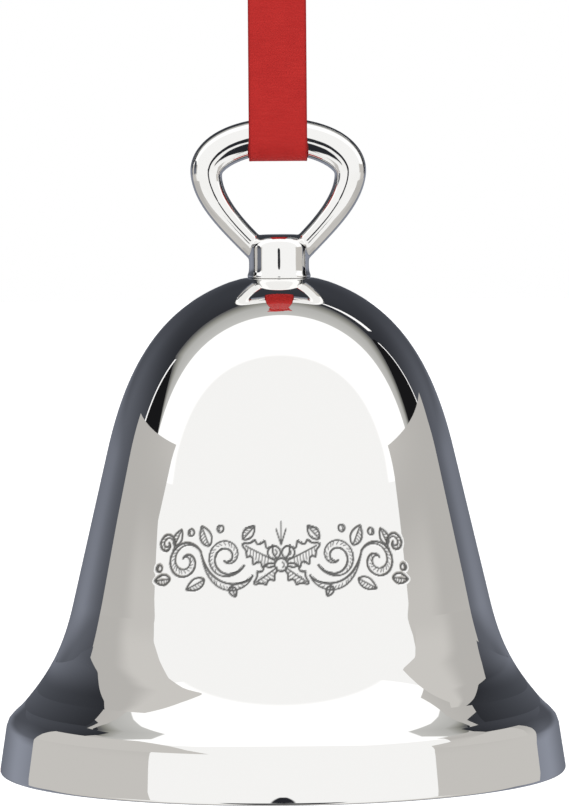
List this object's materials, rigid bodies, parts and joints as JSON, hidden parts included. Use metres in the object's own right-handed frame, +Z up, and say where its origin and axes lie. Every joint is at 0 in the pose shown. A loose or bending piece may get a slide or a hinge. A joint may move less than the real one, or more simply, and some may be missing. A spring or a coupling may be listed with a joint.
{
  "type": "christmas bell ornament",
  "caption": "Silver-plated bell ornament with a round mouth, a cast loop handle, a swinging clapper and a flat red hanging ribbon.",
  "frame": {"origin": "the hanging point, between the ribbon's two strands just under its knot", "axes": "+Z up along the bell's axis, front with the engraving towards -Y, +X to the right seen from the front"},
  "size_m": [0.0636, 0.0634, 0.1036],
  "materials": {
    "ribbon_red": "fine woven taffeta ribbon with a narrow selvedge",
    "silver_shell": "mirror-polished silver plate on brass, engraved on the front",
    "silver_handle": "polished silver plate on a casting",
    "fixing_steel": "plain machined steel",
    "silver_clapper": "polished plated wire and ball"
  },
  "bodies": {
    "hanger": {"ribbon": "ribbon_red", "ribbon_knot": "ribbon_red"},
    "bell": {"bell_shell": "silver_shell", "hanging_loop": "silver_handle", "crown_washer": "fixing_steel", "lock_nut": "fixing_steel", "eye_screw": "fixing_steel"},
    "link": {"clapper_link": "silver_clapper"},
    "clapper": {"clapper_stem": "silver_clapper", "clapper_ball": "silver_clapper"}
  },
  "joints": [
    {"name": "bell_swing", "type": "hinge", "parent": "hanger", "child": "bell", "pos_m": [0, 0, -0.0189], "axis": [1, 0, 0], "range_deg": [-90, 90]},
    {"name": "link_swing", "type": "hinge", "parent": "bell", "child": "link", "pos_m": [0, 0, -0.0441], "axis": [1, 0, 0], "range_deg": [-28, 28]},
    {"name": "clapper_swing", "type": "hinge", "parent": "link", "child": "clapper", "pos_m": [0, 0, -0.04735], "axis": [0, 1, 0], "range_deg": [-12, 12]}
  ]
}
